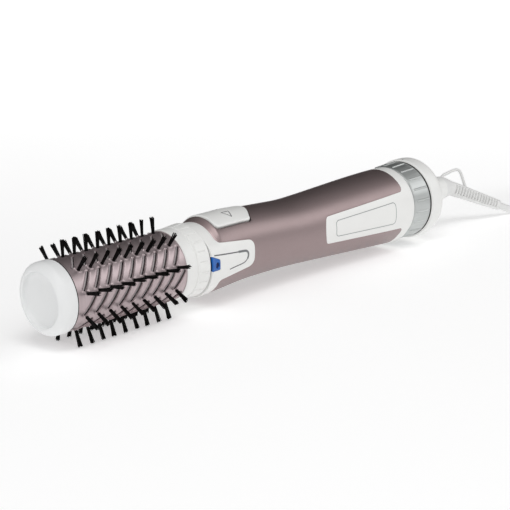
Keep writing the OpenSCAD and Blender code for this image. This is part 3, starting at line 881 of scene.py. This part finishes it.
def make_ion_outlet():
    """Blue insert with a round recess, and the tip of the needle inside it."""
    gap = 0.12

    def from_hole(s, phi):
        return np.hypot((s - ION_HOLE_S) * 1.15, (ION_TURN - phi) * GRID_R - ION_HOLE_UP)
    outline = [(x - gap if x > 98 else x, y + (gap if y < 0 else -gap)) for x, y in ION_OUTLINE]
    edge = local_field(outline, ION_TURN)
    grid = skin_grid(94.9, 101.4, ION_TURN - 0.3, ION_TURN + 0.3, 0.15)
    s, phi = grid[2:]
    on = snap_to([edge], s, phi, 0.15)
    value, away = edge(s, phi), from_hole(s, phi)
    recess = 1.2 * smooth((ION_HOLE_R - away) / 0.7)
    slope = 0.2 * smooth((s - 95.5) / 2.0) * smooth((away - 2.2) / 2.5)
    r = skin(s, phi) - 0.12 * smooth((value + 0.4) / 0.4) - recess - slope
    obj = patch("ion_outlet_insert", grid, False, region_state(value, on), r, 1.2, "handle",
                MAT["blue"], 50)
    # painted shade: the faces deep in the recess get a darker copy of the blue
    obj.data.materials.append(MAT["blue_hole_shade"])
    for p in obj.data.polygons:
        c = p.center
        if from_hole(c.x / MM - FRONT_X, math.atan2(-c.y, c.z - AXIS_Z * MM)) < ION_HOLE_R - 0.38:
            p.material_index = 1
    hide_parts("ion_outlet")
    verts = []
    for t, pin_r in ((0, 0.2), (0.2, 0.18), (0.4, 0.04)):
        for a in circle(12):
            verts.append(place(ION_HOLE_S + pin_r * math.cos(a),
                               ION_TURN + (pin_r * math.sin(a) - ION_HOLE_UP) / GRID_R, 21.0 + t))
    tip = mesh_object("ion_tip", verts, grid_faces(3, 12), "handle", MAT["steel"])
    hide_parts("ion_needle")


def make_tongue_grooves():
    """Hooked groove on each tongue, drawn as a painted shade line, with a wider painted shadow at its
    rounded end.
    """
    near = [(96.6, 76.2), (102, 77.6), (108.9, 79.3), (116, 80.9), (121.6, 82.2), (123.6, 83.4),
            (124.8, 86.4), (125.0, 90.5), (124.5, 95), (123.3, 98.9), (121.4, 101.3), (118.4, 102.4),
            (115.4, 102.8), (112, 103.5), (109, 104.3)]
    line = smooth_line([(s, math.radians(a + 0.3)) for s, a in near])
    mirrored = [(s, -a) for s, a in line]
    for name, pts in (("tongue_groove_left", line), ("tongue_groove_right", mirrored)):
        # painted shade: flat grey lines on the skin stand in for the groove's shade
        ribbon(name, pts, 0.7, False, "handle", MAT["mark"], 0.045)
        end = pts[int(len(pts) * 0.42): int(len(pts) * 0.68)]            # the rounded end
        ribbon(name + "_shadow", end, 1.5, False, "handle", MAT["groove"], 0.03)


def make_rocker():
    """Rocker with a rounded edge, its two arrows, and a dark sheet under the gap round it as painted shadow.
    """
    edge = top_field(rocker_outline(0))
    grid = skin_grid(106.8, 141.6, -0.75, 0.75, 0.35)
    s, phi = grid[2:]
    on = snap_to([edge], s, phi, 0.35)
    value = edge(s, phi)
    t = np.clip(-value, 0, 1)
    r = skin(s, phi) + ROCKER_PROUD * np.sqrt(np.clip(1 - (1 - t) ** 2, 0, 1)) - 0.05
    obj = patch("rocker_cap", grid, False, region_state(value, on), r, 2.2, "rocker",
                MAT["white"], 50)
    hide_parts("rocker_button")
    corners = [(120.2, 10), (125.8, 10.2), (123.2, 25)]
    for side in (-1, 1):
        pts = []
        for i in range(3):
            a, b = corners[i], corners[(i + 1) % 3]
            pts += [(a[0] + (b[0] - a[0]) * k / 8, math.radians(a[1] + (b[1] - a[1]) * k / 8) * side)
                    for k in range(8)]
        ribbon("rocker_arrow_" + ("left" if side > 0 else "right"), pts, 0.55, True, "rocker",
               MAT["mark"], ROCKER_PROUD - 0.02, -ROCKER_PROUD + 0.3)
    # painted shadow: a dark sheet below the skin, seen through the gap round the rocker
    grid = skin_grid(105.6, 142.8, -0.8, 0.8, 0.8)
    s, phi = grid[2:]
    well = top_field(rocker_outline(1.4))
    on = snap_to([well], s, phi, 0.8)
    patch("rocker_gap_shadow", grid, False, region_state(well(s, phi), on), skin(s, phi) - 1.7, 0.2,
          "handle", MAT["dark"], 50)


def make_panel_motif():
    """A plain rounded frame on each label panel, in place of any marking."""
    outline = (arc(204, 2.6, 2.4, 180, 90, 5) + arc(254, 4.6, 2.4, 90, 0, 5)
               + arc(254, -4.6, 2.4, 0, -90, 5) + arc(204, -2.6, 2.4, -90, -180, 5))
    fine = dense(outline + outline[:1], 1.5)[:-1]
    quarter = math.radians(90)
    for side, name in ((1, "left"), (-1, "right")):
        pts = [(x, side * (quarter - math.asin(z / skin(x, quarter)))) for x, z in fine]
        ribbon("panel_line_" + name, pts, 0.45, True, "handle", MAT["groove"], 0.04)


make_handle()
make_ion_outlet()
make_tongue_grooves()
make_rocker()
make_panel_motif()


# ---------------------------------------------------------------- brush head
def slot_axes(s, phi):
    """Distance to the nearest slot's middle line, and the signed offset towards the handle."""
    half_pitch = ROW_PITCH / 2
    u = ((phi - SLOT_PHASE * ROW_PITCH + half_pitch) % ROW_PITCH - half_pitch) * BARREL_R
    half = SLOT_LEN / 2 - SLOT_W / 2
    du, ds = math.cos(SLOT_SLANT), -math.sin(SLOT_SLANT)
    best, side = np.full(s.shape, 1e9), np.zeros(s.shape)
    for i in range(TUFTS):
        v = s - (FIRST_TUFT + SLOT_SHIFT + TUFT_PITCH * i)
        t = np.clip(u * du + v * ds, -half, half)
        a, b = u - t * du, v - t * ds
        d = np.hypot(a, b)
        nearer = d < best
        best = np.where(nearer, d, best)
        side = np.where(nearer, b * du - a * ds, side)
    return best, side


def slot_field(s, phi):
    return slot_axes(s, phi)[0] - SLOT_W / 2


def make_barrel():
    """Metal barrel pressed with slanted louvres, and a raised socket for each tuft."""
    step = 0.42
    rows, cols = round(BARREL_LEN / step) + 1, 33 * ROWS
    lip_out, lip_in, lip_width = 0.52, 0.55, 0.55            # the two edges of a slot
    rim_r, rim_height, rim_width = 1.3, 0.24, 0.42           # socket round a tuft
    hole_r, hole_depth = 0.8, 0.35
    s, phi = np.meshgrid(np.linspace(0.05, BARREL_LEN, rows),
                         np.linspace(0, 2 * math.pi, cols, endpoint=False), indexing="ij")
    s, phi = s.ravel(), phi.ravel()
    on = snap_to([slot_field], s, phi, step)
    d, side = slot_axes(s, phi)
    edge = d - SLOT_W / 2
    towards = np.clip(side / (SLOT_W / 2), -1, 1)
    lip = np.exp(-(np.maximum(edge, 0) / lip_width) ** 2)
    r = BARREL_R + lip_out * lip * np.clip(towards, 0, 1) - lip_in * lip * np.clip(-towards, 0, 1)
    u = ((phi + ROW_PITCH / 2) % ROW_PITCH - ROW_PITCH / 2) * BARREL_R
    v = (s - FIRST_TUFT + TUFT_PITCH / 2) % TUFT_PITCH - TUFT_PITCH / 2
    v = np.where((s < 2) | (s > BARREL_LEN - 2), TUFT_PITCH / 2, v)      # no socket at the two ends
    q = np.hypot(u, v)
    r += rim_height * np.exp(-((q - rim_r) / rim_width) ** 2) - hole_depth * np.exp(-(q / hole_r) ** 4)
    obj = patch("barrel_shell", (rows, cols, s, phi), True, region_state(-edge, on), r, 0.8, "brush",
                MAT["barrel"], 50)
    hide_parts("brush_barrel")


def make_louvres():
    """A tongue in each slot: it slopes in from the edge nearest the tip and leaves a narrow gap."""
    du, ds = math.cos(SLOT_SLANT), -math.sin(SLOT_SLANT)
    top = ((-0.78, 19.6), (-0.3, 19.52), (0.1, 19.4), (0.3, 19.25))
    section = top + tuple((c, r - 0.3) for c, r in reversed(top))
    stations, sides, span = 9, len(section), SLOT_LEN - 0.5
    verts, faces = [], []
    for row in range(ROWS):
        for i in range(TUFTS):
            start = len(verts)
            for k in range(stations):
                t = (k / (stations - 1) - 0.5) * span
                for c, r in section:
                    u, v = t * du - c * ds, t * ds + c * du
                    verts.append(place(FIRST_TUFT + SLOT_SHIFT + TUFT_PITCH * i + v,
                                       (SLOT_PHASE + row) * ROW_PITCH + u / BARREL_R, r))
            faces += shifted(grid_faces(stations, sides), start)
            last = start + (stations - 1) * sides
            faces.append(tuple(start + j for j in range(sides)))
            faces.append(tuple(last + sides - 1 - j for j in range(sides)))
    obj = mesh_object("barrel_louvres", verts, faces, "brush", MAT["louvre"], 30)
    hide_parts("brush_barrel")


def make_tufts():
    """Each tuft is a bundle of bristles that flares a little towards its tip."""
    rng = random.Random(11)
    verts, faces = [], []
    sides, bristles, base_r, bristle_r, taper = 5, 30, 18.9, 0.21, 0.04
    rings = ((0.0, 0.76), (0.3, 0.86), (0.75, 1.1), (1.0, 1.34))      # part of the length, spread
    along = Vector((1, 0, 0))
    for row in range(ROWS):
        turn = ROW_PITCH * row
        out = Vector((0, -math.sin(turn), math.cos(turn)))
        around = Vector((0, -math.cos(turn), -math.sin(turn)))
        for i in range(TUFTS):
            foot = Vector((FRONT_X + FIRST_TUFT + TUFT_PITCH * i, 0, AXIS_Z)) + out * base_r
            lean_a, lean_s = rng.uniform(-0.35, 0.35), rng.uniform(-0.35, 0.35)
            for b in range(bristles):
                a = rng.uniform(0, 2 * math.pi)
                k = math.sqrt((b + 0.5) / bristles)
                dx, dy = k * math.cos(a), k * math.sin(a)
                length = TIP_R - base_r - rng.uniform(0.02, 0.9)
                start = len(verts)
                for t, spread in rings:
                    centre = (foot + out * length * t + along * (dx * spread + lean_s * t * t)
                              + around * (dy * spread + lean_a * t * t))
                    w = bristle_r - taper * t
                    for c in circle(sides):
                        verts.append((centre + along * w * math.cos(c) + around * w * math.sin(c)) * MM)
                faces += shifted(grid_faces(len(rings), sides), start)
                top = start + (len(rings) - 1) * sides
                faces.append(tuple(top + j for j in range(sides)))
    obj = mesh_object("tuft_bundles", verts, faces, "brush", MAT["bristle"], 0)
    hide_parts("bristle_tufts")


def make_tip_cap():
    """White cap with a rounded edge and a dished face, and the dark seam behind it."""
    edge_r = 5.2
    profile = [(4.0, 17.6), (4.0, 18.8), (0.05, 18.8), (-0.1, 19.5), (-0.12, 19.9), (-0.5, 20.25),
               (-3.0, 20.3)]
    for i in range(15):
        a = math.radians(-i * 4.6)
        profile.append((-edge_r + edge_r * math.sin(a), BARREL_R + 0.3 - edge_r + edge_r * math.cos(a)))
    profile += [(-10.25, 16.65), (-10.36, 16.1), (-10.3, 15.6), (-9.8, 15.25), (-8.4, 15.0), (-7.8, 14.8),
                (-7.4, 14.3), (-6.6, 12.6), (-5.9, 10.2), (-5.4, 7.4), (-5.1, 3.8), (-5.0, 0.0)]
    curve = [Vector((s, r, 0)) for s, r in profile[5:]]
    fine = [(p.x, max(p.y, 0.0)) for p in spline_points(curve, 0.5)]
    cap = lathe("tip_cap_shell", profile[:5] + fine, "brush", MAT["cap_white"], 160, 40)
    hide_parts("tip_cap")
    seam = [(-0.1, 19.2), (-0.1, 20.12), (0.22, 20.16), (0.3, 19.2)]
    lathe("tip_seam", seam, "brush", MAT["dark"])


def turned_grid(name, profile, dent, body, material, sides, angle=35):
    """Revolved profile whose radius is changed by dent(station, angle)."""
    s = np.repeat([p[0] for p in profile], sides)
    r = np.repeat([p[1] for p in profile], sides)
    phi = np.tile(2 * math.pi * np.arange(sides) / sides, len(profile))
    verts = to_world(s, phi, r + dent(s, phi))
    faces = grid_faces(len(profile), sides, flip=True)
    return mesh_object(name, verts, faces, body, material, angle)


def make_brush_collar():
    """White flared collar with a ring of short grip marks."""
    marks, depth, half_w, start, end, mean_r = 22, 0.4, 0.55, 86.9, 92.6, 21.2
    base = rounded([(77.3, 19.9), (77.2, 20.4), (78.6, 20.7), (84.4, 20.7), (84.75, 20.25), (85.35, 20.25),
                    (85.7, 20.9), (93.5, 21.6), (94.2, 21.35), (94.35, 20.6), (94.35, 16.0)], 0.4, 4)
    profile = dense(base, 0.5)

    def dent(s, phi):
        pitch = 2 * math.pi / marks
        u = np.abs((phi + pitch / 2) % pitch - pitch / 2) * mean_r
        along = smooth((s - start) / 0.5) * smooth((end - s) / 0.5)
        return -depth * smooth((half_w - u) / 0.3) * along
    obj = turned_grid("brush_collar_shell", profile, dent, "brush", MAT["white"], 528)
    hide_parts("brush_collar")
    lathe("parting_shadow", [(94.5, 16.8), (94.5, 20.4), (94.9, 20.4)], "handle", MAT["dark"])


# ---------------------------------------------------------------- rear end
def make_ring():
    """Silver selector ring with short raised ribs, and painted shadow rings in the gaps at its two sides."""
    ribs, height, half_w, half_len, middle, mean_r = 20, 0.6, 0.75, 5.4, 283.4, 24.5
    base = rounded([(275.2, 22.6), (275.2, 23.9), (276.4, 24.25), (289.9, 25.0), (290.6, 24.8),
                    (290.85, 24.3), (290.85, 22.6)], 0.35, 4)
    profile = dense(base, 0.4)

    def dent(s, phi):
        pitch = 2 * math.pi / ribs
        u = np.abs(phi % pitch - pitch / 2) * mean_r
        end = np.maximum(np.abs(s - middle) - half_len, 0)
        return height * smooth((half_w - np.hypot(u, end)) / 0.35)
    obj = turned_grid("selector_ring_shell", profile, dent, "selector", MAT["silver"], 600)
    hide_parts("selector_ring")
    # painted shadow: dark rings in the gaps on each side of the ring
    for name, profile in (("ring_shadow_rear", [(290.86, 22.5), (290.86, 24.9), (291.18, 25.2)]),
                          ("ring_shadow_front", [(274.9, 22.5), (274.98, 23.7), (275.15, 23.6)])):
        lathe(name, profile, "handle", MAT["dark"])


def make_rear_cap():
    """White rear cap with a ring of air slots cut through it, and a small index mark."""
    slots, half_w, slot_in, slot_out, slot_from = 24, 0.7, 13.4, 22.4, 303
    cap_r = 26.45
    per_slot = 12                       # columns of points for each slot: its opening is the middle four
    base = [(291.3, 23.2), (291.22, 25.2), (291.3, 25.8), (291.7, 26.3), (292.4, cap_r), (299.6, cap_r),
            (301.6, 25.95), (303.4, 24.7), (305.0, 22.5), (305.55, 21.6), (306.6, 18.8), (307.3, 15.6),
            (307.7, 13.4), (307.95, 12.9), (309.6, 12.6), (309.98, 12.2), (309.98, 9.3), (309.6, 9.05),
            (305, 9.05)]
    curve = [Vector((s, r, 0)) for s, r in base]
    profile = [(p.x, p.y) for p in spline_points(curve, 0.7)]
    period = 2 * math.pi / slots
    verts, inner, cut = [], [], []
    for s, r in profile:
        e = math.asin(half_w / r)
        columns = [-period / 2 + (period / 2 - e) * k / 4 for k in range(4)] + [-e, -e / 2, 0, e / 2]
        columns += [e + (period / 2 - e) * k / 4 for k in range(4)]
        for j in range(slots):
            for c in columns:
                a = period * j + c
                verts.append(place(s, a, r))
                inner.append(place(s - 1.5, a, r - 0.2))
        cut.append(slot_in < r < slot_out and s > slot_from)
    cols = slots * per_slot
    faces = []
    for i in range(len(profile) - 1):
        for j in range(cols):
            if cut[i] and cut[i + 1] and 4 <= j % per_slot < 8:
                continue
            k = (j + 1) % cols
            faces.append([i * cols + j, i * cols + k, (i + 1) * cols + k, (i + 1) * cols + j])
    verts, faces = with_skirt(verts, faces, inner)
    obj = mesh_object("rear_cap_shell", verts, faces, "handle", MAT["white"], 40)
    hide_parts("rear_cap")
    ribbon("cap_tick", [(292.0, 0.0), (292.8, 0.0), (293.6, 0.0)], 0.8, False, "handle",
           MAT["mark"], 0.05, 0.3, lambda s, phi: cap_r - 0.03)


def make_swivel():
    """White cone that turns in the rear cap, with the groove that holds it there."""
    base = [(299.9, 0.0), (299.9, 10.9), (300.2, 11.1), (303.0, 11.1), (303.1, 10.9), (303.1, 8.9),
            (310.5, 8.9), (310.5, 10.9), (310.7, 11.2), (311.6, 11.2), (313.2, 10.5), (316, 9.7), (321, 9.0),
            (327, 8.5), (NOSE_END, CONE_R)]
    obj = lathe("swivel_cone", base, "cord", MAT["white"], 96)
    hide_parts("cord_swivel")


def make_relief():
    """Elbow and ladder-like sleeve of the strain relief, swept along its bend."""
    start, along = relief_frame()
    lean = Matrix.Rotation(LEAN, 3, "X")
    sides, slots, rail, first_slot, steps = 72, 16, 0.66, -3.0, 60
    elbow_r, round_r, core_r, deepest = 8.1, 6.6, 2.6, 1.7
    power = 3.2                         # of the squarish section, which starts below round_r
    stations = []                       # centre, direction, radius, depth of a slot
    pitch = (RIB_LEN - 3.2 - first_slot) / slots

    def slot_depth(t):
        if not first_slot < t < first_slot + slots * pitch:
            return 0.0
        return smooth((0.31 - abs(((t - first_slot) / pitch) % 1 - 0.5)) / 0.06)
    for i in range(steps + 1):
        a = BEND * i / steps
        c = lean @ Vector((NOSE_END - 0.4 + 0.4 * i / steps + BEND_R * math.sin(a), 0,
                           -BEND_R * (1 - math.cos(a))))
        d = lean @ Vector((math.cos(a), 0, -math.sin(a)))
        r = elbow_r + (RELIEF_R - elbow_r) * smooth(i / steps * 1.15)
        stations.append((c + Vector((FRONT_X, 0, AXIS_Z)), d, r, slot_depth((i / steps - 1) * BEND_LEN)))
    n = 220
    for i in range(1, n + 1):
        t = (RIB_LEN - 0.02) * i / n
        r = RELIEF_R + (RELIEF_TIP_R - RELIEF_R) * t / RIB_LEN
        if t > RIB_LEN - 1.6:
            r = RELIEF_TIP_R - 0.9 * smooth((t - RIB_LEN + 0.8) / 0.8)
        stations.append((start + along * t, along, r, slot_depth(t)))
    verts = []
    for c, d, r, depth in stations:
        flat = Vector((0, 1, 0))
        flat = (flat - d * flat.dot(d)).normalized()
        up = flat.cross(d)
        if up.z < 0:
            up = -up
        for a in circle(sides):
            y, z = math.sin(a), math.cos(a)
            face = smooth((rail - abs(z)) / 0.1)
            square = 1.0 / (abs(y) ** power + abs(z) ** power) ** (1 / power)
            k = min(1.0, max(0.0, (round_r - r) / 1.4))
            rr = r * (1 + (square - 1) * 0.6 * k) * (1 - 0.06 * k)
            rr -= depth * face * min(deepest, r - core_r)
            verts.append((c + flat * y * rr + up * z * rr) * MM)
    faces = grid_faces(len(stations), sides, flip=True)
    last = (len(stations) - 1) * sides
    verts.append((start + along * RIB_LEN) * MM)
    faces += [(last + j, last + (j + 1) % sides, len(verts) - 1) for j in range(sides)]
    obj = mesh_object("relief_sleeve", verts, faces, "cord", MAT["cord"], 38)
    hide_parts("strain_relief")


# Middle line of the hanging loop: station, y and height above the axis.
LOOP_POINTS = [(333.5, -0.4, 6.6), (336, -0.5, 8.3), (341, -0.6, 9.2), (346.5, -0.7, 9.9),
               (350.6, -0.9, 9.9), (353.4, -1.3, 8.6), (354.8, -1.8, 6), (355.6, -2.6, 2.6),
               (356.3, -3.6, -1.6), (356.9, -4.6, -5.2)]
LOOP_R = 1.05


def make_loop():
    """Thin loop that rises from the cone and comes down on the strain relief."""
    line = spline_points([axis_point(*p) for p in LOOP_POINTS], 0.8 * MM)
    verts, faces = tube_mesh(line, LOOP_R * MM, 20)
    obj = mesh_object("loop_wire", verts, faces, "cord", MAT["cord"], 50)
    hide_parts("hanging_loop")


# ---------------------------------------------------------------- looks of the carried-over pieces
CARRIED = {
    "bristle_strips": "dark", "brush_core": "inner", "brush_clip": "steel", "drive_hub": "nylon",
    "output_gear": "nylon", "hub_bush": "brass", "gearbox_case": "dark", "gearbox_lid": "dark",
    "idler_gear": "nylon", "idler_axle": "steel", "motor_pinion": "brass", "gear_motor": "can",
    "ion_generator": "dark", "rocker_pin": "steel", "rocker_bracket": "dark", "switch_board": "board",
    "micro_switches": "dark", "heater_duct": "mica", "heater_frame": "mica", "heater_coil": "wire",
    "thermal_cutout": "steel", "circuit_board": "board", "board_parts": "dark", "fan_duct": "inner",
    "fan_motor": "can", "fan_shaft": "steel", "fan_impeller": "nylon", "selector_switch": "dark",
    "dust_screen": "dark", "cap_screws": "steel",
}


def dress_carried():
    """Gives each carried-over CAD node its own procedural material."""
    for name, key in CARRIED.items():
        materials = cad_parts[name].data.materials
        materials.clear()
        materials.append(MAT[key])


make_barrel()
make_louvres()
make_tufts()
make_tip_cap()
make_brush_collar()
make_ring()
make_rear_cap()
make_swivel()
make_relief()
make_loop()
dress_carried()
